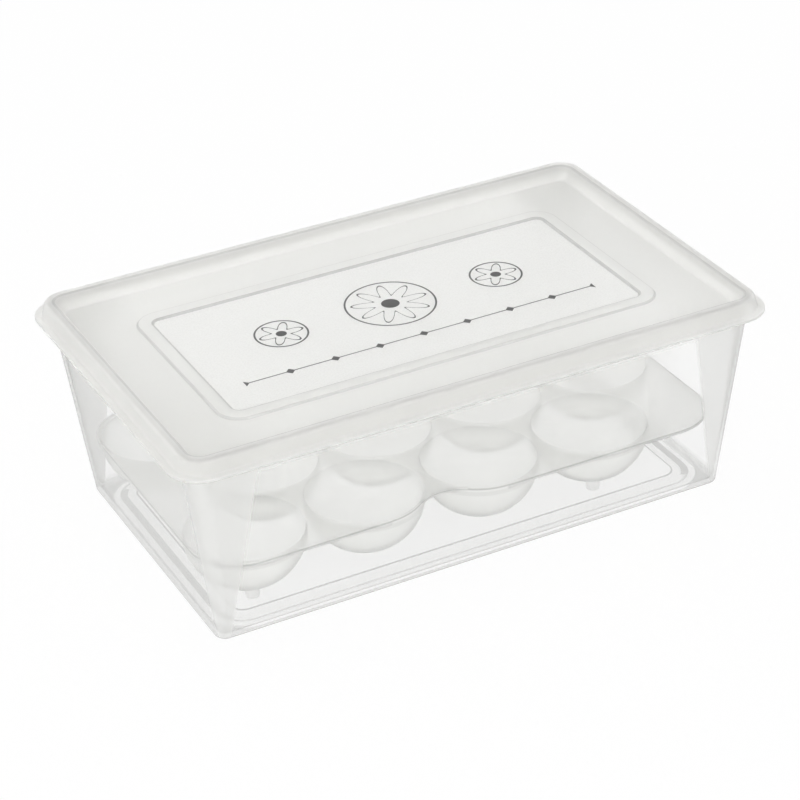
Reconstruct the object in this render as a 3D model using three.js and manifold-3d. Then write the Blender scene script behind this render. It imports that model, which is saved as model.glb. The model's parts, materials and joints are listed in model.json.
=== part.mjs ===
// Egg box for twelve eggs: a clear tub with leaning walls, a lift-out tray with staggered cups and
// a frosted press-on lid. Lengths are in millimetres. +Z is up, X runs along the length, and the
// origin is the middle of the flat ring that the box stands on.
import * as THREE from "three";
import { mergeVertices } from "three/addons/utils/BufferGeometryUtils.js";
import Module from "manifold-3d";

const wasm = await Module();
wasm.setup();

// Driving dimensions of the tub
const tubBaseLength = 233.2;
const tubBaseWidth = 134;
const tubHeight = 89.8;
const tubFlare = 9.8;
const tubWall = 1.3;
const tubBaseCorner = 5;
const tubRimCorner = 8.6;
const tubBaseEdge = 1.5;
const floorWall = 1.2;
const floorFillet = 2.8;
const footHeight = 0.8;
const floorPanelInset = 13.1;
const floorPanelStep = 1.2;
const floorPanelCorner = 6;
const rimBeadDepth = 0.7;
const rimBeadHeight = 1.8;
const rimBeadDrop = 1.2;

// Driving dimensions of the tray
const cupRadius = 24;
const cupDepth = 24;
const cupRimRound = 0.8;
const cupLand = 0.6;
const trayWall = 1.2;
const trayLip = 1.9;
const trayEdgeRound = 0.5;
const trayClearance = 0.6;
const trayCornerShare = 0.88;
const notchDepth = 9.4;
const pegLength = 5.8;
const pegRadius = 2.9;
const pegShift = 3;

// Driving dimensions of the lid
const lidWall = 1.2;
const lidDrop = 5.8;
const lidOverhang = 6.1;
const lidCorner = 14.5;
const flangeWidth = 3.1;
const flangeThickness = 1.3;
const flangeEdge = 0.35;
const skirtFoot = 0.8;
const skirtLean = 1;
const shoulderRound = 1.8;
const crestWidth = 2;
const crestRound = 1.1;
const dishDepth = 5.8;
const dishSlope = 2.2;
const dishFillet = 1.4;
const dishCorner = 4;
const bandInset = 33.4;
const bandWidth = 6.9;
const bandRise = 0.8;
const bandStep = 0.6;
const bandCorner = 10.4;
const bandInnerCorner = 3.6;

// How finely the round stretches are faceted
const cornerSteps = 8;
const cupSides = 24;
const bowlSteps = 5;
const roundSteps = 3;
const pegSides = 16;
const notchSides = 48;

// Number of cups, and how far the middle row is shifted as a share of the pitch
const cupColumns = 4;
const cupRows = 3;
const staggerShare = 0.5;

const quarterTurn = Math.PI / 2;

// One rounded rectangle at a height, as a run of points that goes anticlockwise seen from above
function ring(halfLength, halfWidth, corner, z) {
  const points = [];
  const corners = [[1, 1], [-1, 1], [-1, -1], [1, -1]];
  corners.forEach(([sideX, sideY], quarter) => {
    for (let step = 0; step <= cornerSteps; step += 1) {
      const angle = (quarter + step / cornerSteps) * quarterTurn;
      const x = sideX * (halfLength - corner) + corner * Math.cos(angle);
      const y = sideY * (halfWidth - corner) + corner * Math.sin(angle);
      points.push(new THREE.Vector3(x, y, z));
    }
  });
  return points;
}

// A closed body through rings that climb on the outside, turn over and come down inside.
// The first ring is closed facing down, the last facing up.
function loft(rings) {
  const positions = [];
  const index = [];
  const count = rings[0].length;
  rings.forEach((points) => points.forEach((point) => positions.push(point.x, point.y, point.z)));
  for (let level = 0; level + 1 < rings.length; level += 1) {
    for (let i = 0; i < count; i += 1) {
      const next = (i + 1) % count;
      const low = level * count;
      const high = low + count;
      index.push(low + i, low + next, high + next, low + i, high + next, high + i);
    }
  }
  const last = (rings.length - 1) * count;
  const firstCentre = positions.length / 3;
  positions.push(0, 0, rings[0][0].z);
  positions.push(0, 0, rings[rings.length - 1][0].z);
  for (let i = 0; i < count; i += 1) {
    const next = (i + 1) % count;
    index.push(firstCentre, next, i, firstCentre + 1, last + i, last + next);
  }
  const geometry = new THREE.BufferGeometry();
  geometry.setAttribute("position", new THREE.Float32BufferAttribute(positions, 3));
  geometry.setIndex(index);
  return geometry;
}

// Points along an arc in the plane of inset and height
function arc(centreInset, centreZ, radius, from, to) {
  const points = [];
  for (let step = 0; step <= roundSteps; step += 1) {
    const angle = from + (to - from) * step / roundSteps;
    points.push([centreInset + radius * Math.cos(angle), centreZ + radius * Math.sin(angle)]);
  }
  return points;
}

// A closed three.js geometry as a solid that can be joined and cut
function toSolid(geometry) {
  const bare = geometry.clone();
  bare.deleteAttribute("normal");
  bare.deleteAttribute("uv");
  const merged = mergeVertices(bare);
  const corners = merged.getIndex().array;
  const triVerts = [];
  for (let i = 0; i < corners.length; i += 3) {
    const [a, b, c] = [corners[i], corners[i + 1], corners[i + 2]];
    if (a !== b && b !== c && c !== a) triVerts.push(a, b, c);
  }
  return new wasm.Manifold(new wasm.Mesh({
    numProp: 3,
    vertProperties: new Float32Array(merged.getAttribute("position").array),
    triVerts: new Uint32Array(triVerts),
  }));
}

function fromSolid(solid) {
  const mesh = solid.getMesh();
  const geometry = new THREE.BufferGeometry();
  geometry.setAttribute("position", new THREE.Float32BufferAttribute(mesh.vertProperties, 3));
  geometry.setIndex(Array.from(mesh.triVerts));
  return geometry;
}

// A solid of revolution about +Z from [radius, height] points that start and end on the axis
function revolve(profile, sides) {
  const points = profile.map(([radius, z]) => new THREE.Vector2(radius, z));
  const geometry = new THREE.LatheGeometry(points, sides);
  geometry.rotateX(quarterTurn);
  return geometry;
}

// The tub's walls lean out and its corners open from base to rim
const baseHalfLength = tubBaseLength / 2;
const baseHalfWidth = tubBaseWidth / 2;
const floorTop = footHeight + floorWall;

function leanAt(z) {
  return tubFlare * z / tubHeight;
}

function tubCornerAt(z) {
  return tubBaseCorner + (tubRimCorner - tubBaseCorner) * z / tubHeight;
}

function wallRing(z, inset) {
  const out = leanAt(z) - inset;
  return ring(baseHalfLength + out, baseHalfWidth + out, Math.max(tubCornerAt(z) - inset, tubWall), z);
}

function floorRing(inset, z) {
  const corner = floorPanelCorner + floorPanelInset - inset;
  return ring(baseHalfLength - inset, baseHalfWidth - inset, corner, z);
}

function makeTub() {
  const panelFoot = floorPanelInset - floorPanelStep;
  const beadTop = tubHeight - rimBeadDrop;
  const beadFoot = beadTop - rimBeadHeight;
  const rings = [floorRing(floorPanelInset, footHeight), floorRing(panelFoot, 0)];
  arc(tubBaseEdge, tubBaseEdge, tubBaseEdge, -quarterTurn, -Math.PI).forEach(([inset, z]) => {
    rings.push(wallRing(z, inset));
  });
  rings.push(wallRing(beadFoot - rimBeadDepth, 0));
  rings.push(wallRing(beadFoot, -rimBeadDepth));
  rings.push(wallRing(beadTop, -rimBeadDepth));
  rings.push(wallRing(beadTop + rimBeadDepth, 0));
  rings.push(wallRing(tubHeight, 0));
  rings.push(wallRing(tubHeight, tubWall));
  const filletInset = tubWall + floorFillet;
  const filletZ = floorWall + floorFillet;
  arc(filletInset, filletZ, floorFillet, -Math.PI, -quarterTurn).forEach(([inset, z]) => {
    rings.push(wallRing(z, inset));
  });
  rings.push(floorRing(panelFoot, floorWall));
  rings.push(floorRing(floorPanelInset, floorTop));
  return loft(rings);
}

// The tray stands on its pegs, and its edge follows the tub's inside with a running clearance
const cupFloorZ = floorTop + pegLength;
const trayLevel = cupFloorZ + trayWall + cupDepth;
const lipFoot = trayLevel - trayLip;
const trayInset = tubWall + trayClearance - leanAt(lipFoot);
const trayHalfLength = baseHalfLength - trayInset;
const trayHalfWidth = baseHalfWidth - trayInset;
const cupRimRadius = cupRadius + cupRimRound;
const trayCorner = cupRimRadius * trayCornerShare;
const cupReach = cupRimRadius + cupLand;
const cupPitch = 2 * (trayHalfLength - cupReach) / (cupColumns - 1 + staggerShare);
const rowPitch = 2 * (trayHalfWidth - cupReach) / (cupRows - 1);
const shellRadius = cupRadius + trayWall;

// Middle of every cup, row by row from the front; the middle row is shifted to the right
function cupPlaces() {
  const places = [];
  for (let row = 0; row < cupRows; row += 1) {
    const shifted = row % 2 === 1;
    const start = -trayHalfLength + cupReach + (shifted ? staggerShare * cupPitch : 0);
    for (let column = 0; column < cupColumns; column += 1) {
      const y = -trayHalfWidth + cupReach + row * rowPitch;
      const outerRow = row === 0 || row === cupRows - 1;
      const outerColumn = column === 0 || column === cupColumns - 1;
      places.push({
        x: start + column * cupPitch,
        y,
        hasPeg: outerRow && outerColumn,
        pegY: y + Math.sign(y) * pegShift,
      });
    }
  }
  return places;
}

// Quarter of an ellipse from the axis at the bottom out to the bowl's widest level
function bowlProfile(radius, bottom, top) {
  const points = [];
  for (let step = 0; step <= bowlSteps; step += 1) {
    const angle = quarterTurn * step / bowlSteps;
    points.push([radius * Math.sin(angle), top - (top - bottom) * Math.cos(angle)]);
  }
  return points;
}

function trayRing(inset, z) {
  return ring(trayHalfLength - inset, trayHalfWidth - inset, trayCorner - inset, z);
}

function makeTrayPlate() {
  const rings = [
    trayRing(trayWall, trayLevel - trayWall),
    trayRing(trayWall, lipFoot),
    trayRing(0, lipFoot),
  ];
  const roundZ = trayLevel - trayEdgeRound;
  arc(trayEdgeRound, roundZ, trayEdgeRound, Math.PI, quarterTurn).forEach(([inset, z]) => {
    rings.push(trayRing(inset, z));
  });
  return loft(rings);
}

// A finger notch in the middle of each long side: between two cups the edge swings in along an
// arc that meets both cups' walls smoothly, and the turned-down edge follows it
function cutNotches(plate) {
  const middleX = -trayHalfLength + cupReach + (cupColumns - 1) * cupPitch / 2;
  const cupLineY = trayHalfWidth - cupReach;
  const restDepth = cupReach - notchDepth;
  const spread = (cupPitch / 2) ** 2 + restDepth ** 2 - shellRadius ** 2;
  const notchRadius = spread / (2 * (shellRadius - restDepth));
  const centreY = cupLineY + restDepth + notchRadius;
  const meetY = cupLineY + (restDepth + notchRadius) * shellRadius / (shellRadius + notchRadius);
  const outerRadius = notchRadius + trayWall;
  const overrun = 2 * outerRadius;
  const lipDisc = new THREE.CylinderGeometry(outerRadius, outerRadius, trayLip, notchSides);
  const cutDisc = new THREE.CylinderGeometry(notchRadius, notchRadius, overrun, notchSides);
  const lip = toSolid(lipDisc.rotateX(quarterTurn));
  const cut = toSolid(cutDisc.rotateX(quarterTurn));
  const lipTrim = toSolid(new THREE.BoxGeometry(overrun, overrun, overrun));
  const trim = toSolid(new THREE.BoxGeometry(cupPitch, overrun, overrun));
  let notched = plate;
  [-1, 1].forEach((side) => {
    const lipZ = trayLevel - trayLip / 2;
    const beyond = [middleX, side * (meetY + overrun / 2), trayLevel];
    const placed = lip.translate([middleX, side * centreY, lipZ]);
    notched = notched.add(placed.subtract(lipTrim.translate(beyond)));
    notched = notched.subtract(cut.translate([middleX, side * centreY, trayLevel]));
    notched = notched.subtract(trim.translate(beyond));
  });
  return notched;
}

function makeTray() {
  const bowlTop = trayLevel - cupRimRound;
  const cupFloor = trayLevel - cupDepth;
  const shell = bowlProfile(shellRadius, cupFloorZ, bowlTop);
  shell.push([shellRadius, trayLevel], [0, trayLevel]);
  const shellSolid = toSolid(revolve(shell, cupSides));
  const hollow = bowlProfile(cupRadius, cupFloor, bowlTop);
  const rimArc = arc(cupRimRadius, bowlTop, cupRimRound, Math.PI, quarterTurn);
  const overrunZ = trayLevel + trayWall;
  hollow.push(...rimArc.slice(1), [cupRimRadius, overrunZ], [0, overrunZ]);
  const hollowSolid = toSolid(revolve(hollow, cupSides));
  const pegTop = cupFloorZ + trayWall / 2;
  const peg = [[0, floorTop], [pegRadius, floorTop], [pegRadius, pegTop], [0, pegTop]];
  const pegSolid = toSolid(revolve(peg, pegSides));
  const places = cupPlaces();
  let body = cutNotches(toSolid(makeTrayPlate()));
  places.forEach(({ x, y, hasPeg, pegY }) => {
    body = body.add(shellSolid.translate([x, y, 0]));
    if (hasPeg) body = body.add(pegSolid.translate([x, pegY, 0]));
  });
  places.forEach(({ x, y }) => {
    body = body.subtract(hollowSolid.translate([x, y, 0]));
  });
  return fromSolid(body);
}

// The lid hooks over the tub's rim: insets are measured in from the edge of its flange
const lidHalfLength = baseHalfLength + tubFlare + lidOverhang;
const lidHalfWidth = baseHalfWidth + tubFlare + lidOverhang;
const flangeFoot = tubHeight - lidDrop;
const crestTop = tubHeight + lidWall;
const panelTop = crestTop - dishDepth;
const panelUnder = panelTop - lidWall;

function lidRing([inset, z]) {
  return ring(lidHalfLength - inset, lidHalfWidth - inset, Math.max(lidCorner - inset, dishCorner), z);
}

function bandRing(inset, corner, z) {
  return ring(lidHalfLength - inset, lidHalfWidth - inset, corner, z);
}

// The raised band round the label, from its outer foot to its inner foot
function bandRings(base) {
  const inner = bandInset + bandWidth;
  return [
    bandRing(bandInset, bandCorner, base),
    bandRing(bandInset + bandStep, bandCorner - bandStep, base + bandRise),
    bandRing(inner - bandStep, bandInnerCorner + bandStep, base + bandRise),
    bandRing(inner, bandInnerCorner, base),
  ];
}

function makeLid() {
  const flangeTop = flangeFoot + flangeThickness;
  const shoulderInset = flangeWidth + skirtLean + shoulderRound;
  const shoulderZ = crestTop - shoulderRound;
  const crestEnd = shoulderInset + crestWidth;
  const slopeInset = crestEnd + crestRound;
  const dishInset = slopeInset + dishSlope;
  const top = [
    [flangeEdge, flangeFoot],
    [0, flangeFoot + flangeEdge],
    [0, flangeTop - flangeEdge],
    [flangeEdge, flangeTop],
    ...arc(flangeWidth - skirtFoot, flangeTop + skirtFoot, skirtFoot, -quarterTurn, 0),
    ...arc(shoulderInset, shoulderZ, shoulderRound, Math.PI, quarterTurn),
    ...arc(crestEnd, crestTop - crestRound, crestRound, quarterTurn, 0),
    ...arc(dishInset + dishFillet, panelTop + dishFillet, dishFillet, Math.PI, 1.5 * Math.PI),
  ];
  const seatZ = tubHeight;
  const seatRound = shoulderRound / 2;
  const under = [
    [flangeWidth + lidWall, flangeFoot],
    ...arc(shoulderInset, seatZ - seatRound, seatRound, Math.PI, quarterTurn),
    [crestEnd - flangeEdge, seatZ],
    [dishInset - lidWall, panelUnder + dishFillet],
    [dishInset + dishFillet, panelUnder],
  ];
  const rings = bandRings(panelUnder).reverse();
  rings.push(...under.reverse().map(lidRing));
  rings.push(...top.map(lidRing));
  rings.push(...bandRings(panelTop));
  return loft(rings);
}

function plastic(color, roughness, opacity) {
  return new THREE.MeshStandardMaterial({ color, roughness, metalness: 0, transparent: true, opacity });
}

const group = new THREE.Group();

function addPiece(name, geometry, material) {
  geometry.computeVertexNormals();
  const mesh = new THREE.Mesh(geometry, material);
  mesh.name = name;
  group.add(mesh);
}

addPiece("tub", makeTub(), plastic(0xe8eae8, 0.12, 0.35));
addPiece("egg_tray", makeTray(), plastic(0xe9ebe9, 0.35, 0.85));
addPiece("lid", makeLid(), plastic(0xebece8, 0.45, 0.9));

export default group;
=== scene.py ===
import bpy
import bmesh
import json
import math
from mathutils import Matrix, Vector

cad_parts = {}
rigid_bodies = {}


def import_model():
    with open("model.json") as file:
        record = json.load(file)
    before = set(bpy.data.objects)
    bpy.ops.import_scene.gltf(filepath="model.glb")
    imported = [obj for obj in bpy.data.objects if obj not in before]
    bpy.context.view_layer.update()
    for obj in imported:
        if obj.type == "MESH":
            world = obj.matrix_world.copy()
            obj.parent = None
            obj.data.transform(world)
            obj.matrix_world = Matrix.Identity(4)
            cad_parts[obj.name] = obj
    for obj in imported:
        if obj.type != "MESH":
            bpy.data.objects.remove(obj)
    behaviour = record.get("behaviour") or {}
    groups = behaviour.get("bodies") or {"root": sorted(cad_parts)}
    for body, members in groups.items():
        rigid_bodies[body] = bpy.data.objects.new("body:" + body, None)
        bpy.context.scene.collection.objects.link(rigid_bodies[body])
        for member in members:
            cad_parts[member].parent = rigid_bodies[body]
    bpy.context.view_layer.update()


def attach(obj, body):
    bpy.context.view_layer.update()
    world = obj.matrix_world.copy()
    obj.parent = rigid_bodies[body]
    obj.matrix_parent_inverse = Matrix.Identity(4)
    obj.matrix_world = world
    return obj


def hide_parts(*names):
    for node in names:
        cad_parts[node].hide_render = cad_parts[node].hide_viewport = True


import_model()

# Lengths are in millimetres, as in the part's source, until a finished mesh is scaled to metres.
MM = 0.001
QUARTER = math.pi / 2
CORNER_STEPS, ARC_STEPS, EDGE_STEPS = 20, 6, 3
MERGE, FINE_MERGE = 0.001, 0.0005
FACE_WEIGHT = 80

# Tub
BASE_X, BASE_Y = 116.6, 67.0
TUB_HEIGHT, FLARE, TUB_WALL = 89.8, 9.8, 1.3
BASE_CORNER, RIM_CORNER, BASE_EDGE = 5.0, 8.6, 1.5
FLOOR_WALL, FLOOR_FILLET, FOOT = 1.2, 2.8, 0.8
PANEL_INSET, PANEL_STEP, PANEL_CORNER = 13.1, 1.2, 6.0
BEAD_DEPTH, BEAD_HEIGHT, BEAD_DROP = 0.7, 1.8, 1.2

# Tray
CUP_RADIUS, CUP_DEPTH, CUP_ROUND, CUP_LAND = 24.0, 24.0, 0.8, 0.6
TRAY_WALL, TRAY_LIP, TRAY_ROUND, TRAY_GAP = 1.2, 1.9, 0.5, 0.6
CORNER_SHARE, NOTCH_DEPTH = 0.88, 9.4
PEG_LENGTH, PEG_RADIUS, PEG_SHIFT = 5.8, 2.9, 3.0
PEG_FOOT, PEG_FOOT_MIDDLE, PEG_SINK_SHARE = 0.5, 0.15, 0.9
COLUMNS, ROWS, STAGGER = 4, 3, 0.5
CUP_SIDES, NOTCH_SIDES, PEG_SIDES = 72, 96, 32
BOWL_STEPS, ROUND_STEPS = 16, 4
# Keeps the flat faces of joined bodies out of one plane
HAIR = 0.04

# Lid
LID_WALL, LID_DROP, OVERHANG, LID_CORNER = 1.2, 5.8, 6.1, 14.5
FLANGE_WIDTH, FLANGE_THICK, FLANGE_EDGE = 3.1, 1.3, 0.35
SKIRT_FOOT, SKIRT_LEAN, SHOULDER, CREST_WIDTH = 0.8, 1.0, 1.8, 2.0
CREST_ROUND, DISH_DEPTH, DISH_SLOPE, DISH_FILLET, DISH_CORNER = 1.1, 5.8, 2.2, 1.4, 4.0
BAND_INSET, BAND_WIDTH, BAND_RISE, BAND_STEP = 33.4, 6.9, 0.8, 0.6
BAND_CORNER, BAND_INNER_CORNER = 10.4, 3.6
# Shares of the band's step and rise, from its foot to its top
BAND_PROFILE = ((0, 0), (0.25, 0.2), (0.75, 0.8), (1, 1))
# How far the dish's slope is tilted from upright, in radians
DISH_TILT = 0.35

# Camera, fitted to the edges of the box in the photograph
AZIMUTH, ELEVATION, ROLL = (math.radians(a) for a in (-26.17, 30.21, -2.46))
TARGET = Vector((-1.03, -1.27, 42.75)) * MM
DISTANCE = 1.1077
LENS, SENSOR = 118.56, 36
back = Vector((math.sin(AZIMUTH) * math.cos(ELEVATION),
               -math.cos(AZIMUTH) * math.cos(ELEVATION), math.sin(ELEVATION)))
right = (-back).cross(Vector((0, 0, 1))).normalized()
up = right.cross(-back)
turned_right = math.cos(ROLL) * right + math.sin(ROLL) * up
turned_up = -math.sin(ROLL) * right + math.cos(ROLL) * up
camera = bpy.data.objects.new("camera", bpy.data.cameras.new("camera"))
camera.data.lens = LENS
camera.data.sensor_width = SENSOR
camera.matrix_world = Matrix.LocRotScale(
    TARGET + back * DISTANCE,
    Matrix((turned_right, turned_up, back)).transposed().to_quaternion(), None)
bpy.context.scene.collection.objects.link(camera)
bpy.context.scene.camera = camera


# A ring is a rounded rectangle: half length, half width, corner radius and height.
def place_corners(bm, verts, old, new):
    """Each corner's run of points is scaled about its own centre and moved to the new ring."""
    for side_x in (1, -1):
        for side_y in (1, -1):
            run = [v for v in verts if v.co.x * side_x > 0 and v.co.y * side_y > 0]
            start = Vector((side_x * (old[0] - old[2]), side_y * (old[1] - old[2]), old[3]))
            end = Vector((side_x * (new[0] - new[2]), side_y * (new[1] - new[2]), new[3]))
            share = new[2] / old[2]
            bmesh.ops.scale(bm, vec=(share, share, 1), verts=run, space=Matrix.Translation(-start))
            bmesh.ops.translate(bm, vec=end - start, verts=run)


def lay_ring(bm, ring):
    """Makes the first ring the only face of a new mesh, and gives its edges."""
    half_x, half_y, corner, z = ring
    made = bmesh.ops.create_grid(bm, x_segments=1, y_segments=1, size=1)["verts"]
    bmesh.ops.scale(bm, vec=(half_x, half_y, 1), verts=made)
    bmesh.ops.translate(bm, vec=(0, 0, z), verts=made)
    bmesh.ops.bevel(bm, geom=made, offset=corner, segments=CORNER_STEPS, profile=0.5,
                    affect="VERTICES", material=-1)
    bm.faces.ensure_lookup_table()
    return list(bm.faces[0].edges)


def follow_rings(bm, edges, rings):
    """The open edge is drawn on from ring to ring."""
    for old, new in zip(rings, rings[1:]):
        drawn = bmesh.ops.extrude_edge_only(bm, edges=edges)["geom"]
        edges = [g for g in drawn if isinstance(g, bmesh.types.BMEdge)]
        verts = [g for g in drawn if isinstance(g, bmesh.types.BMVert)]
        place_corners(bm, verts, old, new)
    return edges


def arc(inset, z, radius, start, end, steps=ARC_STEPS):
    """Points along an arc in the plane of inset and height."""
    angles = [start + (end - start) * i / steps for i in range(steps + 1)]
    return [(inset + radius * math.cos(a), z + radius * math.sin(a)) for a in angles]


def finish_piece(bm, name, body, node, material):
    """The mesh becomes a smooth, evenly shaded piece in metres, in the CAD's frame."""
    bmesh.ops.scale(bm, vec=(MM, MM, MM), verts=bm.verts)
    for face in bm.faces:
        face.smooth = True
    mesh = bpy.data.meshes.new(name)
    bm.to_mesh(mesh)
    bm.free()
    mesh.materials.append(material)
    piece = bpy.data.objects.new(name, mesh)
    bpy.context.scene.collection.objects.link(piece)
    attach(piece, body)
    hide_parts(node)
    weighted = piece.modifiers.new("even_shading", "WEIGHTED_NORMAL")
    weighted.weight = FACE_WEIGHT
    weighted.keep_sharp = True
    return piece


def closed_shell(rings):
    """A closed body through rings that climb outside, turn over and come down inside."""
    bm = bmesh.new()
    last = follow_rings(bm, lay_ring(bm, rings[0]), rings)
    bmesh.ops.edgeloop_fill(bm, edges=last)
    bmesh.ops.recalc_face_normals(bm, faces=bm.faces)
    return bm


def wall_ring(z, inset):
    """A ring of the tub's wall, which leans out while its corners open from base to rim."""
    out = FLARE * z / TUB_HEIGHT - inset
    corner = BASE_CORNER + (RIM_CORNER - BASE_CORNER) * z / TUB_HEIGHT
    return (BASE_X + out, BASE_Y + out, max(corner - inset, TUB_WALL), z)


def floor_ring(inset, z):
    """A ring of the tub's floor, round the raised panel."""
    return (BASE_X - inset, BASE_Y - inset, PANEL_CORNER + PANEL_INSET - inset, z)


def tub_rings():
    """Under the floor, up the outside with its bead, over the rim and down the inside."""
    panel_foot = PANEL_INSET - PANEL_STEP
    bead_top = TUB_HEIGHT - BEAD_DROP
    bead_foot = bead_top - BEAD_HEIGHT
    rings = [floor_ring(PANEL_INSET, FOOT), floor_ring(panel_foot, 0)]
    foot = arc(BASE_EDGE, BASE_EDGE, BASE_EDGE, -QUARTER, -math.pi)
    rings += [wall_ring(z, inset) for inset, z in foot]
    rings += [wall_ring(z, inset) for z, inset in (
        (bead_foot - BEAD_DEPTH, 0), (bead_foot, -BEAD_DEPTH), (bead_top, -BEAD_DEPTH),
        (bead_top + BEAD_DEPTH, 0), (TUB_HEIGHT, 0), (TUB_HEIGHT, TUB_WALL))]
    fillet = arc(TUB_WALL + FLOOR_FILLET, FLOOR_WALL + FLOOR_FILLET, FLOOR_FILLET, -math.pi, -QUARTER)
    rings += [wall_ring(z, inset) for inset, z in fillet]
    return rings + [floor_ring(panel_foot, FLOOR_WALL), floor_ring(PANEL_INSET, FOOT + FLOOR_WALL)]


# Places of the tray's cups
FLOOR_TOP = FOOT + FLOOR_WALL
CUP_FLOOR = FLOOR_TOP + PEG_LENGTH
TRAY_LEVEL = CUP_FLOOR + TRAY_WALL + CUP_DEPTH
TRAY_INSET = TUB_WALL + TRAY_GAP - FLARE * (TRAY_LEVEL - TRAY_LIP) / TUB_HEIGHT
TRAY_X, TRAY_Y = BASE_X - TRAY_INSET, BASE_Y - TRAY_INSET
RIM_RADIUS, SHELL_RADIUS = CUP_RADIUS + CUP_ROUND, CUP_RADIUS + TRAY_WALL
REACH = RIM_RADIUS + CUP_LAND
PITCH = 2 * (TRAY_X - REACH) / (COLUMNS - 1 + STAGGER)
ROW_PITCH = 2 * (TRAY_Y - REACH) / (ROWS - 1)
CUPS = [(-TRAY_X + REACH + (column + STAGGER * (row % 2)) * PITCH, -TRAY_Y + REACH + row * ROW_PITCH)
        for row in range(ROWS) for column in range(COLUMNS)]
CORNER_CUPS = [CUPS[i] for i in (0, COLUMNS - 1, -COLUMNS, -1)]
PEGS = [(x, y + math.copysign(PEG_SHIFT, y)) for x, y in CORNER_CUPS]

# Finger notches: an arc that runs smoothly into the walls of the two cups beside it
NOTCH_X = -TRAY_X + REACH + (COLUMNS - 1) * PITCH / 2
CUP_LINE, REST = TRAY_Y - REACH, REACH - NOTCH_DEPTH
NOTCH_RADIUS = ((PITCH / 2) ** 2 + REST ** 2 - SHELL_RADIUS ** 2) / (2 * (SHELL_RADIUS - REST))
NOTCH_Y = CUP_LINE + REST + NOTCH_RADIUS
MEET_Y = CUP_LINE + (REST + NOTCH_RADIUS) * SHELL_RADIUS / (SHELL_RADIUS + NOTCH_RADIUS)


def turned(section, sides, places):
    """Closed bodies turned about +Z from a section that starts and ends on the axis, one at each place."""
    bm = bmesh.new()
    for x, y in places:
        chain = [bm.verts.new((radius, 0, z)) for radius, z in section]
        links = [bm.edges.new(pair) for pair in zip(chain, chain[1:])]
        bmesh.ops.spin(bm, geom=chain + links, axis=(0, 0, 1), cent=(0, 0, 0), angle=2 * math.pi,
                       steps=sides, use_merge=True, use_duplicate=False)
        bmesh.ops.translate(bm, vec=(x, y, 0), verts=[v for v in bm.verts if not v.tag])
        for vert in bm.verts:
            vert.tag = True
    bmesh.ops.remove_doubles(bm, verts=bm.verts, dist=MERGE)
    bmesh.ops.recalc_face_normals(bm, faces=bm.faces)
    return bm


def bowl(radius, bottom, top):
    """Quarter of an ellipse, from the axis at the bottom out to the widest level."""
    angles = [QUARTER * i / BOWL_STEPS for i in range(BOWL_STEPS + 1)]
    return [(radius * math.sin(a), top - (top - bottom) * math.cos(a)) for a in angles]


def disc(radius, low, high):
    """Section of a flat round body."""
    return [(0, low), (radius, low), (radius, high), (0, high)]


def boxes(size, places):
    """One body of equal boxes, each centred on its place."""
    bm = bmesh.new()
    for place in places:
        made = bmesh.ops.create_cube(bm, size=1)["verts"]
        bmesh.ops.scale(bm, vec=size, verts=made)
        bmesh.ops.translate(bm, vec=place, verts=made)
    return bm


def combined(body, steps):
    """The body after each join or cut in turn."""
    objects = bpy.context.scene.collection.objects
    made = []
    for bm in [body] + [other for _, other in steps]:
        mesh = bpy.data.meshes.new("blank")
        bm.to_mesh(mesh)
        bm.free()
        made.append(bpy.data.objects.new("blank", mesh))
        objects.link(made[-1])
    for (operation, _), tool in zip(steps, made[1:]):
        cut = made[0].modifiers.new(operation.lower(), "BOOLEAN")
        cut.operation, cut.object, cut.solver = operation, tool, "EXACT"
    result = bmesh.new()
    result.from_object(made[0], bpy.context.evaluated_depsgraph_get())
    for blank in made:
        bpy.data.objects.remove(blank)
    bmesh.ops.remove_doubles(result, verts=result.verts, dist=FINE_MERGE)
    return result


def tray_ring(inset, z):
    return (TRAY_X - inset, TRAY_Y - inset, RIM_RADIUS * CORNER_SHARE - inset, z)


def tray_plate():
    """The plate and its turned-down edge, before anything is cut or joined."""
    lip_foot = TRAY_LEVEL - TRAY_LIP
    rings = [(TRAY_WALL, TRAY_LEVEL - TRAY_WALL), (TRAY_WALL, lip_foot), (0, lip_foot)]
    rings += arc(TRAY_ROUND, TRAY_LEVEL - TRAY_ROUND, TRAY_ROUND, math.pi, QUARTER, ROUND_STEPS)
    return closed_shell([tray_ring(inset, z) for inset, z in rings])


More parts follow.
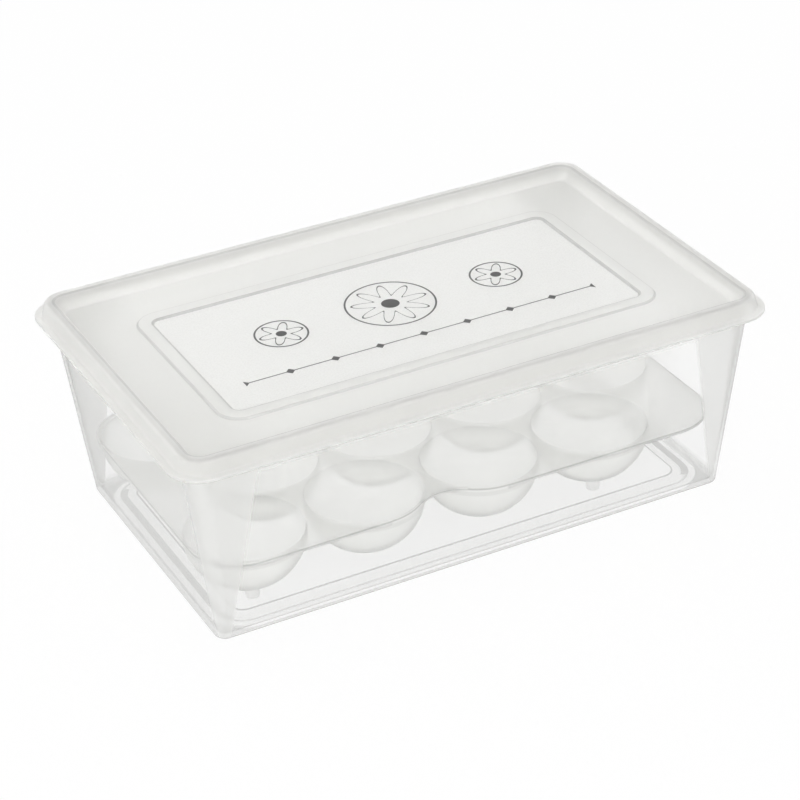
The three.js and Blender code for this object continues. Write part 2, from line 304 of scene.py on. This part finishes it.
def make_tray(material):
    """The moulding: plate with turned-down edge and finger notches, twelve cups and four pegs."""
    cup_top, over, notch_span = TRAY_LEVEL - CUP_ROUND, TRAY_LEVEL + TRAY_WALL, 3 * NOTCH_RADIUS
    notches = [(NOTCH_X, side * NOTCH_Y) for side in (-1, 1)]
    trims = [(NOTCH_X, side * (MEET_Y + notch_span / 2), TRAY_LEVEL) for side in (-1, 1)]
    notch_lip = disc(NOTCH_RADIUS + TRAY_WALL, TRAY_LEVEL - TRAY_LIP + HAIR, TRAY_LEVEL - HAIR)
    shell = bowl(SHELL_RADIUS, CUP_FLOOR, cup_top)
    shell += [(SHELL_RADIUS, TRAY_LEVEL - HAIR), (0, TRAY_LEVEL - HAIR)]
    hollow = bowl(CUP_RADIUS, TRAY_LEVEL - CUP_DEPTH, cup_top)
    hollow += arc(RIM_RADIUS, cup_top, CUP_ROUND, math.pi, QUARTER, ROUND_STEPS)[1:]
    hollow += [(RIM_RADIUS, over), (0, over)]
    peg_top = CUP_FLOOR + TRAY_WALL * PEG_SINK_SHARE
    peg = [(0, FLOOR_TOP), (PEG_RADIUS - PEG_FOOT, FLOOR_TOP),
           (PEG_RADIUS - PEG_FOOT_MIDDLE, FLOOR_TOP + PEG_FOOT_MIDDLE),
           (PEG_RADIUS, FLOOR_TOP + PEG_FOOT), (PEG_RADIUS, peg_top), (0, peg_top)]
    bm = combined(tray_plate(), [
        ("UNION", turned(notch_lip, NOTCH_SIDES, notches)),
        ("DIFFERENCE", turned(disc(NOTCH_RADIUS, 0, 2 * TRAY_LEVEL), NOTCH_SIDES, notches)),
        ("DIFFERENCE", boxes((PITCH, notch_span, TRAY_LEVEL), trims)),
        ("UNION", turned(shell, CUP_SIDES, CUPS)),
        ("UNION", turned(peg, PEG_SIDES, PEGS)),
        ("DIFFERENCE", turned(hollow, CUP_SIDES, CUPS))])
    tray = finish_piece(bm, "tray_moulding", "tray", "egg_tray", material)
    # How far each point is from the nearest cup's hollow, for the tray's finish
    beyond = tray.data.attributes.new("beyond_hollow", "FLOAT", "POINT")
    for vert, value in zip(tray.data.vertices, beyond.data):
        x, y = vert.co.x / MM, vert.co.y / MM
        value.value = min(math.hypot(x - cup_x, y - cup_y) for cup_x, cup_y in CUPS) - CUP_RADIUS


# Rings of the lid: insets are measured in from the edge of its flange
LID_X, LID_Y = BASE_X + FLARE + OVERHANG, BASE_Y + FLARE + OVERHANG
FLANGE_FOOT = TUB_HEIGHT - LID_DROP
CREST_TOP = TUB_HEIGHT + LID_WALL
PANEL_TOP = CREST_TOP - DISH_DEPTH
PANEL_UNDER = PANEL_TOP - LID_WALL


def lid_ring(inset, z):
    return (LID_X - inset, LID_Y - inset, max(LID_CORNER - inset, DISH_CORNER), z)


def band_rings(base):
    """The raised band round the label, from its outer foot to its inner foot."""
    inner = BAND_INSET + BAND_WIDTH
    rise = [(BAND_STEP * across, base + BAND_RISE * upwards) for across, upwards in BAND_PROFILE]
    rings = [(BAND_INSET + step, BAND_CORNER - step, z) for step, z in rise]
    rings += [(inner - step, BAND_INNER_CORNER + step, z) for step, z in rise[::-1]]
    return [(LID_X - inset, LID_Y - inset, corner, z) for inset, corner, z in rings]


def lid_rings():
    """From the band's underside out to the flange, over the crest and into the dish up to the band."""
    flange_top = FLANGE_FOOT + FLANGE_THICK
    shoulder_inset = FLANGE_WIDTH + SKIRT_LEAN + SHOULDER
    crest_end = shoulder_inset + CREST_WIDTH
    dish_inset = crest_end + CREST_ROUND + DISH_SLOPE
    top = arc(FLANGE_EDGE, FLANGE_FOOT + FLANGE_EDGE, FLANGE_EDGE, -QUARTER, -math.pi, EDGE_STEPS)
    top += arc(FLANGE_EDGE, flange_top - FLANGE_EDGE, FLANGE_EDGE, math.pi, QUARTER, EDGE_STEPS)
    top += arc(FLANGE_WIDTH - SKIRT_FOOT, flange_top + SKIRT_FOOT, SKIRT_FOOT, -QUARTER, 0)
    top += arc(shoulder_inset, CREST_TOP - SHOULDER, SHOULDER, math.pi, QUARTER)
    top += arc(crest_end, CREST_TOP - CREST_ROUND, CREST_ROUND, QUARTER, DISH_TILT)
    top += arc(dish_inset + DISH_FILLET, PANEL_TOP + DISH_FILLET, DISH_FILLET,
               math.pi + DISH_TILT, math.pi + QUARTER)
    seat_round = SHOULDER / 2
    under = [(FLANGE_WIDTH + LID_WALL, FLANGE_FOOT)]
    under += arc(shoulder_inset, TUB_HEIGHT - seat_round, seat_round, math.pi, QUARTER)
    under += [(crest_end - FLANGE_EDGE, TUB_HEIGHT), (dish_inset - LID_WALL, PANEL_UNDER + DISH_FILLET),
              (dish_inset + DISH_FILLET, PANEL_UNDER)]
    rings = band_rings(PANEL_UNDER)[::-1]
    rings += [lid_ring(inset, z) for inset, z in under[::-1]]
    rings += [lid_ring(inset, z) for inset, z in top]
    return rings + band_rings(PANEL_TOP)


# Shader maths
class Reading:
    """What a node gives; sums on it add Math nodes."""

    def __init__(self, finish, socket):
        self.finish = finish
        self.socket = socket

    def sum(self, operation, first, second=0.0, clamp=False):
        return self.finish.node("ShaderNodeMath", {"operation": operation, "use_clamp": clamp},
                                {0: first, 1: second})

    def __add__(self, other):
        return self.sum("ADD", self, other)

    __radd__ = __add__

    def __sub__(self, other):
        return self.sum("SUBTRACT", self, other)

    def __rsub__(self, other):
        return self.sum("SUBTRACT", other, self)

    def __mul__(self, other):
        return self.sum("MULTIPLY", self, other)

    __rmul__ = __mul__

    def __pow__(self, other):
        return self.sum("POWER", self, other)

    def __abs__(self):
        return self.sum("ABSOLUTE", self)

    def least(self, other):
        return self.sum("MINIMUM", self, other)

    def most(self, other):
        return self.sum("MAXIMUM", self, other)

    def cosine(self):
        return self.sum("COSINE", self)

    def clamped(self):
        return self.sum("ADD", self, 0.0, True)


class Finish:
    """One material, or the sky, and its nodes."""

    def __init__(self, name, blocks=bpy.data.materials):
        self.block = blocks.new(name)
        self.block.use_nodes = True
        self.tree = self.block.node_tree
        self.tree.nodes.clear()

    def node(self, kind, settings=None, sockets=None, out=0):
        """Adds a node with its settings and its sockets' values or links, and reads one output."""
        made = self.tree.nodes.new(kind)
        for key, value in (settings or {}).items():
            setattr(made, key, value)
        for key, value in (sockets or {}).items():
            if isinstance(value, Reading):
                self.tree.links.new(value.socket, made.inputs[key])
            else:
                made.inputs[key].default_value = value
        return Reading(self, made.outputs[out]) if made.outputs else None

    def place(self):
        """The three coordinates of the shaded point in millimetres, and the point itself in metres."""
        spot = self.node("ShaderNodeTexCoord", out=3)
        split = self.node("ShaderNodeSeparateXYZ", None, {0: spot})
        outputs = split.socket.node.outputs
        return [Reading(self, outputs[i]) * (1 / MM) for i in range(3)], spot

    def step(self, value, low, high):
        """0 below low, 1 above high, eased between."""
        return self.node("ShaderNodeMapRange", {"interpolation_type": "SMOOTHSTEP"},
                         {0: value, 1: low, 2: high})

    def band(self, value, middle, half_width):
        """A line: 1 up to 0.6 of the half width from the middle, eased to 0 at 1.2 of it."""
        return 1.0 - self.step(abs(value - middle), half_width * 0.6, half_width * 1.2)

    def outside(self, x, y, half_x, half_y, corner):
        """Distance out from a rounded rectangle, negative inside it."""
        over_x = abs(x) - (half_x - corner)
        over_y = abs(y) - (half_y - corner)
        far = (over_x.most(0.0) ** 2.0 + over_y.most(0.0) ** 2.0) ** 0.5
        return far + over_x.most(over_y).least(0.0) - corner

    def upward(self):
        """How far the surface faces up, from -1 to 1."""
        normal = self.node("ShaderNodeTexCoord", out=1)
        return self.node("ShaderNodeVectorMath", {"operation": "DOT_PRODUCT"}, {0: normal, 1: (0, 0, 1)}, 1)

    def grazing(self):
        """0 where the surface is met square on, rising steeply to 1 where it is only grazed."""
        return self.node("ShaderNodeLayerWeight", None, {"Blend": 0.5}, 1) ** 3.0

    def blend(self, share, first, second):
        return self.node("ShaderNodeMix", {"data_type": "RGBA"}, {0: share, 6: first, 7: second}, 2)

    def grain(self, spot, scale, detail=2.0):
        return self.node("ShaderNodeTexNoise", None, {"Vector": spot, "Scale": scale, "Detail": detail})

    def bump(self, height, strength, distance):
        return self.node("ShaderNodeBump", None, {
            "Height": height, "Strength": strength, "Distance": distance})

    def seen_by(self, *rays):
        """1 to any of these kinds of ray."""
        outputs = self.node("ShaderNodeLightPath").socket.node.outputs
        seen = Reading(self, outputs[rays[0]])
        for ray in rays[1:]:
            seen = seen.most(Reading(self, outputs[ray]))
        return seen

    def done(self, shader, output="ShaderNodeOutputMaterial"):
        self.node(output, None, {"Surface": shader})
        return self.block


# Places in the tub's finish: heights, distances along a wall, and distances out from the floor panel.
# A pair is where a change begins and ends, or the middle and half width of a line.
WEDGE_FOOT, WEDGE_SPREAD, WEDGE_ON_ENDS, WEDGE_SOFT = 5.0, 0.28, 0.45, (-0.4, 0.8)
# Painted shade: the middle and last pairs set a grey veil high on the long walls, away from their ends.
RIM_HAZE, HIGH_SHADE, HIGH_ENDS = (76.5, 78.5), (35.0, 80.0), (75.0, 95.0)
FLOOR_HAZE, RING_HAZE = (2.8, 4.2), (0.0, 1.0)
AT_END = (BASE_X - BASE_Y - 1.0, BASE_X - BASE_Y + 1.0)
# Painted shade: where the dark lines run on the floor's steps and round its foot.
LINES_FROM, LINES_TO = (0.95, 1.15), (3.0, 4.0)
PANEL_LINE, RING_LINE, END_FOLD = (0.0, 0.4), (6.6, 0.6), (5.6, 1.7)
FOOT_LINE, FOOT_OUT = (1.2, 2.6), (9.5, 10.5)
# The second colour is painted shade, for those lines and for walls seen edge-on.
TUB_TONE, TUB_SHADE = (0.87, 0.87, 0.855, 1), (0.42, 0.42, 0.41, 1)

# Places in the tray's finish: heights, distances beyond a cup's hollow, and how far a face looks up
# The first pair places a painted shadow line along the plate's turned-down edge; the second bounds the
# painted shade on the cups.
LIP_SHADOW_LINE, BOWLS_TO = (TRAY_LEVEL - 0.8, 0.5), (TRAY_LEVEL - 2.5, TRAY_LEVEL - 1.5)
OUTSIDE, STEEP, LEVEL = (0.82, 1.0), (0.6, 0.85), (0.9, 0.97)
TRAY_TONES = (0.98, 0.982, 0.972, 1), (0.99, 0.992, 0.982, 1)
# Colours of the painted shadow line and of the painted shade on the cups and plate.
TRAY_SHADOW, TRAY_SHADE_VEIL = (0.6, 0.6, 0.59, 1), (0.67, 0.67, 0.66, 1)

# Places in the lid's finish: heights, distances along it, and distances in from an edge
TOP_SIDE, LID_END = (PANEL_TOP - 0.6, PANEL_TOP - 0.3), (88.0, 102.0)
# The skirt and rim bounds set painted shade on the skirt and painted light on the rim; LID_END above sets
# painted shade at the panel's ends.
SKIRT, RIM, LABEL_EDGE = (4.0, 5.5), (11.0, 13.0), (0.0, 0.4)
# Painted shade: places of the dark lines at the band's edges and the dish's upper edge.
BAND_FOLD, LABEL_FOLD, DISH_FOLD = (-0.3, 0.6), (-0.3, 0.7), (8.2, 0.6)
SPECK = (0.42, 0.62)
LID_TONES = (0.98, 0.98, 0.965, 1), (0.995, 0.995, 0.98, 1)
# Painted light and shade: the ends and skirt darker, the rim lighter; the last colour is painted shade for
# the fold lines.
LID_END_SHADE, RIM_LIGHT = (0.93, 0.93, 0.914, 1), (0.995, 0.993, 0.98, 1)
SKIRT_SHADE, FOLD_SHADE = (0.92, 0.918, 0.903, 1), (0.42, 0.42, 0.41, 1)
SPECK_TONE, PRINT_TONE = (0.93, 0.93, 0.915, 1), (0.075, 0.075, 0.075, 1)

# The label's print: rosettes as radius and number of petals, with inner sizes as shares of the radius
PRINT_SOFT, ROSETTE_LINE, PETAL_LINE, RULE_LINE = 0.08, 0.4, 0.45, 0.3
MIDDLE_ROSETTE, SIDE_ROSETTE = (19.0, 9.0), (11.0, 6.0)
ROSETTE_Y, ROSETTE_SPACING, PETAL_REACH, PETAL_WAVE, HEART = 6.0, 50.0, 0.62, 0.24, 0.2
RULE_Y, RULE_HALF, RULE_SOFT, LOZENGE, LOZENGE_BEAT = -24.0, 80.0, 0.1, 2.0, 10.0


def clear_plastic():
    """Clear polypropylene: bright flat walls, milky corners and rim, and painted shade: dark lines where
    the floor steps, dark edges where a wall is seen edge-on and a grey veil high on the long walls.
    """
    f = Finish("clear_tub_plastic")
    (x, y, z), spot = f.place()
    at_end = f.step(abs(x) - abs(y), *AT_END)
    out = f.outside(x, y, BASE_X - PANEL_INSET, BASE_Y - PANEL_INSET, PANEL_CORNER)

    lean = z * (FLARE / TUB_HEIGHT)
    wedge = z * WEDGE_SPREAD + WEDGE_FOOT
    past_x = abs(x) - lean - BASE_X + wedge
    past_y = abs(y) - lean - BASE_Y + wedge * WEDGE_ON_ENDS
    corner = f.step(past_x.least(past_y), *WEDGE_SOFT)
    rim = f.step(z, *RIM_HAZE)
    # Painted shade: a grey veil high on the long walls, away from their ends, summed with the real milky
    # haze below.
    high = f.step(z, *HIGH_SHADE) * (1.0 - at_end) * (1.0 - f.step(abs(x), *HIGH_ENDS))
    floor = 1.0 - f.step(z, *FLOOR_HAZE)
    ring = f.step(out, *RING_HAZE) * floor
    haze_and_shade = 0.03 + (0.4 * corner).most(0.3 * rim).most(0.22 * high)
    haze_and_shade = haze_and_shade + 0.05 * floor + 0.06 * ring + 0.02 * f.grain(spot, 60.0)

    # Painted shade: dark lines along the floor's steps and round its foot.
    upper = f.step(z, *LINES_FROM) * (1.0 - f.step(z, *LINES_TO))
    panel_line = f.band(out, *PANEL_LINE) * upper
    ring_line = f.band(out, *RING_LINE) * upper * (1.0 - at_end)
    end_fold = f.band(out, *END_FOLD) * upper * at_end
    foot = (1.0 - f.step(z, *FOOT_LINE)) * f.step(out, *FOOT_OUT) * (1.0 - 0.7 * corner)
    lines = (0.45 * panel_line).most(0.26 * ring_line).most(0.36 * end_fold).most(0.2 * foot)

    # Painted shade: walls darker and denser where seen edge-on, with the step lines; the milky corners are
    # tinted a little greyer.
    edge = f.grazing() * (1.0 - 0.7 * rim)
    alpha = (haze_and_shade + lines + 0.4 * edge).clamped()
    dark = (edge + 2.0 * lines + 0.11 * corner).clamped()
    bumps = f.bump(f.grain(spot, 260.0), 0.03, 0.0004)
    return f.done(f.node("ShaderNodeBsdfPrincipled", None, {
        "Base Color": f.blend(dark, TUB_TONE, TUB_SHADE), "Roughness": 0.16, "IOR": 1.49,
        "Alpha": alpha, "Normal": bumps}))


def tray_plastic():
    """Milky polypropylene that light soaks through, with a painted shadow line along its turned-down edge
    and painted shade greying the cups' outsides and the plate's top.
    """
    f = Finish("milky_tray_plastic")
    (x, y, z), spot = f.place()
    beyond = f.node("ShaderNodeAttribute", {"attribute_name": "beyond_hollow"}, out=2)
    outside = f.step(beyond, *OUTSIDE)
    upward = f.upward()
    grazing = f.grazing()
    # Painted shadow: a dark line along the upper part of the turned-down edge.
    lip_shadow_line = f.band(z, *LIP_SHADOW_LINE) * (1.0 - f.step(abs(upward), *STEEP)) * outside
    # Painted shade: the cups' outsides below the plate are greyed, least where seen edge-on, and the
    # plate's top is greyed a little.
    bowls = outside * (1.0 - f.step(z, *BOWLS_TO))
    plate = outside * f.step(upward, *LEVEL)
    shade_veil = (0.8 * bowls * (1.0 - grazing)).most(0.45 * plate)
    tone = f.blend(lip_shadow_line, f.blend(f.grain(spot, 45.0), *TRAY_TONES), TRAY_SHADOW)
    bumps = f.bump(f.grain(spot, 700.0), 0.04, 0.0003)
    milky = f.node("ShaderNodeBsdfPrincipled", None, {
        "Base Color": tone, "Roughness": 0.6, "IOR": 1.04, "Transmission Weight": 0.95, "Normal": bumps})
    matt = f.node("ShaderNodeBsdfPrincipled", None, {
        "Base Color": f.blend(shade_veil, tone, TRAY_SHADE_VEIL), "Roughness": 0.4, "IOR": 1.45, "Normal": bumps})
    share = 0.18 + 0.5 * grazing + 0.4 * lip_shadow_line + 0.25 * shade_veil
    return f.done(f.node("ShaderNodeMixShader", None, {0: share, 1: milky, 2: matt}))


def lid_plastic():
    """Frosted polypropylene: a speckled label field with its print; painted shade in dark folds round the
    band and dish, on the skirt and at the two ends; painted light on the rim.
    """
    f = Finish("frosted_lid_plastic")
    (x, y, z), spot = f.place()
    inner = BAND_INSET + BAND_WIDTH
    inset = -1.0 * f.outside(x, y, LID_X, LID_Y, LID_CORNER)
    past_band = f.outside(x, y, LID_X - BAND_INSET, LID_Y - BAND_INSET, BAND_CORNER)
    in_label = -1.0 * f.outside(x, y, LID_X - inner, LID_Y - inner, BAND_INNER_CORNER)
    top_side = f.step(z, *TOP_SIDE)
    label = f.step(in_label, *LABEL_EDGE) * top_side
    # Painted shade: dark lines at both edges of the band and along the dish's upper edge, on the top side
    # only.
    folds = (0.35 * f.band(past_band, *BAND_FOLD)).most(0.6 * f.band(in_label, *LABEL_FOLD))
    folds = folds.most(0.4 * f.band(inset, *DISH_FOLD)) * top_side
    speck = f.step(f.grain(spot, 1500.0, 1.0), *SPECK)

    tone = f.blend(f.grain(spot, 30.0), *LID_TONES)
    # Painted shade at the panel's two ends and on the skirt, painted light on the rim.
    tone = f.blend(f.step(abs(x), *LID_END), tone, LID_END_SHADE)
    tone = f.blend(1.0 - f.step(inset, *RIM), tone, RIM_LIGHT)
    tone = f.blend(1.0 - f.step(inset, *SKIRT), tone, SKIRT_SHADE)
    tone = f.blend(folds, tone, FOLD_SHADE)
    tone = f.blend(label * speck, tone, SPECK_TONE)
    tone = f.blend(label_print(f, x, y) * label, tone, PRINT_TONE)
    bumps = f.bump(f.grain(spot, 900.0), 0.08, 0.0003)
    frosted = f.node("ShaderNodeBsdfPrincipled", None, {
        "Base Color": tone, "Roughness": 0.7, "IOR": 1.2, "Transmission Weight": 0.95, "Normal": bumps})
    matt = f.node("ShaderNodeBsdfPrincipled", None, {
        "Base Color": tone, "Roughness": 0.5, "IOR": 1.49, "Normal": bumps})
    share = (0.25 + 0.25 * label + 0.4 * f.grazing() + 0.35 * folds).clamped()
    return f.done(f.node("ShaderNodeMixShader", None, {0: share, 1: frosted, 2: matt}))


def label_print(f, x, y):
    """A generic line ornament: a rosette between two smaller ones, over a ruled line with lozenges."""
    def line(distance, width):
        return 1.0 - f.step(abs(distance), width - PRINT_SOFT, width + PRINT_SOFT)

    def rosette(middle_x, radius, petals):
        across, along = x - middle_x, y - ROSETTE_Y
        reach = (across * across + along * along) ** 0.5
        wave = (across.sum("ARCTAN2", along, across) * petals).cosine()
        outer = line(reach - radius, ROSETTE_LINE)
        petal = line(reach - radius * (PETAL_REACH + PETAL_WAVE * wave), PETAL_LINE)
        heart = 1.0 - f.step(reach, radius * HEART, radius * HEART + 2 * PRINT_SOFT)
        return outer.most(petal).most(heart)

    marks = rosette(0.0, *MIDDLE_ROSETTE)
    for middle_x in (-ROSETTE_SPACING, ROSETTE_SPACING):
        marks = marks.most(rosette(middle_x, *SIDE_ROSETTE))
    within = 1.0 - f.step(abs(x), RULE_HALF - RULE_SOFT, RULE_HALF + RULE_SOFT)
    from_rule = abs(y - RULE_Y)
    beat = x.sum("PINGPONG", x, LOZENGE_BEAT)
    lozenge = 1.0 - f.step(beat + from_rule, LOZENGE, LOZENGE + 2 * PRINT_SOFT)
    return marks.most(line(from_rule, RULE_LINE) * within).most(lozenge * within)


# Pieces
finish_piece(closed_shell(tub_rings()), "tub_shell", "tub", "tub", clear_plastic())
make_tray(tray_plastic())
finish_piece(closed_shell(lid_rings()), "lid_shell", "lid", "lid", lid_plastic())

# Studio
WHITE, FLOOR_MATT, FLOOR_WHITE_SHARE = (1, 1, 1, 1), (0.95, 0.95, 0.95, 1), 0.94
FLOOR_RADIUS, FLOOR_SIDES, FLOOR_LEVEL = 6.0, 64, -0.0001
SKY_LIGHT = 0.86


def floor_finish():
    """Almost white where it is seen, with the box's soft shadow on it."""
    f = Finish("white_floor")
    seen = f.seen_by("Is Camera Ray", "Is Glossy Ray", "Is Transmission Ray")
    matt = f.node("ShaderNodeBsdfDiffuse", None, {"Color": FLOOR_MATT})
    white = f.node("ShaderNodeEmission", None, {"Color": WHITE, "Strength": 1.0})
    return f.done(f.node("ShaderNodeMixShader", None, {0: seen * FLOOR_WHITE_SHARE, 1: matt, 2: white}))


def sky_finish():
    """White where it is seen, a little dimmer as light and in reflections."""
    f = Finish("studio", bpy.data.worlds)
    strength = SKY_LIGHT + (1.0 - SKY_LIGHT) * f.seen_by("Is Camera Ray", "Is Transmission Ray")
    sky = f.node("ShaderNodeBackground", None, {"Color": WHITE, "Strength": strength})
    return f.done(sky, "ShaderNodeOutputWorld")


def softbox(name, place, power, aim=(0, 0, 0.05), size=(0.9, 0.7)):
    """A rectangular lamp in metres and watts, turned to the middle of the box."""
    data = bpy.data.lights.new(name, "AREA")
    data.shape = "RECTANGLE"
    data.size, data.size_y = size
    data.energy = power
    lamp = bpy.data.objects.new(name, data)
    lamp.location = place
    lamp.rotation_euler = (Vector(aim) - Vector(place)).to_track_quat("-Z", "Y").to_euler()
    bpy.context.scene.collection.objects.link(lamp)


bm = bmesh.new()
bmesh.ops.create_circle(bm, cap_ends=True, segments=FLOOR_SIDES, radius=FLOOR_RADIUS)
bmesh.ops.translate(bm, vec=(0, 0, FLOOR_LEVEL), verts=bm.verts)
mesh = bpy.data.meshes.new("floor")
bm.to_mesh(mesh)
bm.free()
mesh.materials.append(floor_finish())
floor = bpy.data.objects.new("floor", mesh)
bpy.context.scene.collection.objects.link(floor)

bpy.context.scene.world = sky_finish()
softbox("top_softbox", (-0.3, 0.2, 1.3), 1.2)
softbox("front_left_softbox", (-0.9, -1.04, 0.66), 4.9)

bpy.context.scene.view_settings.view_transform = "Standard"
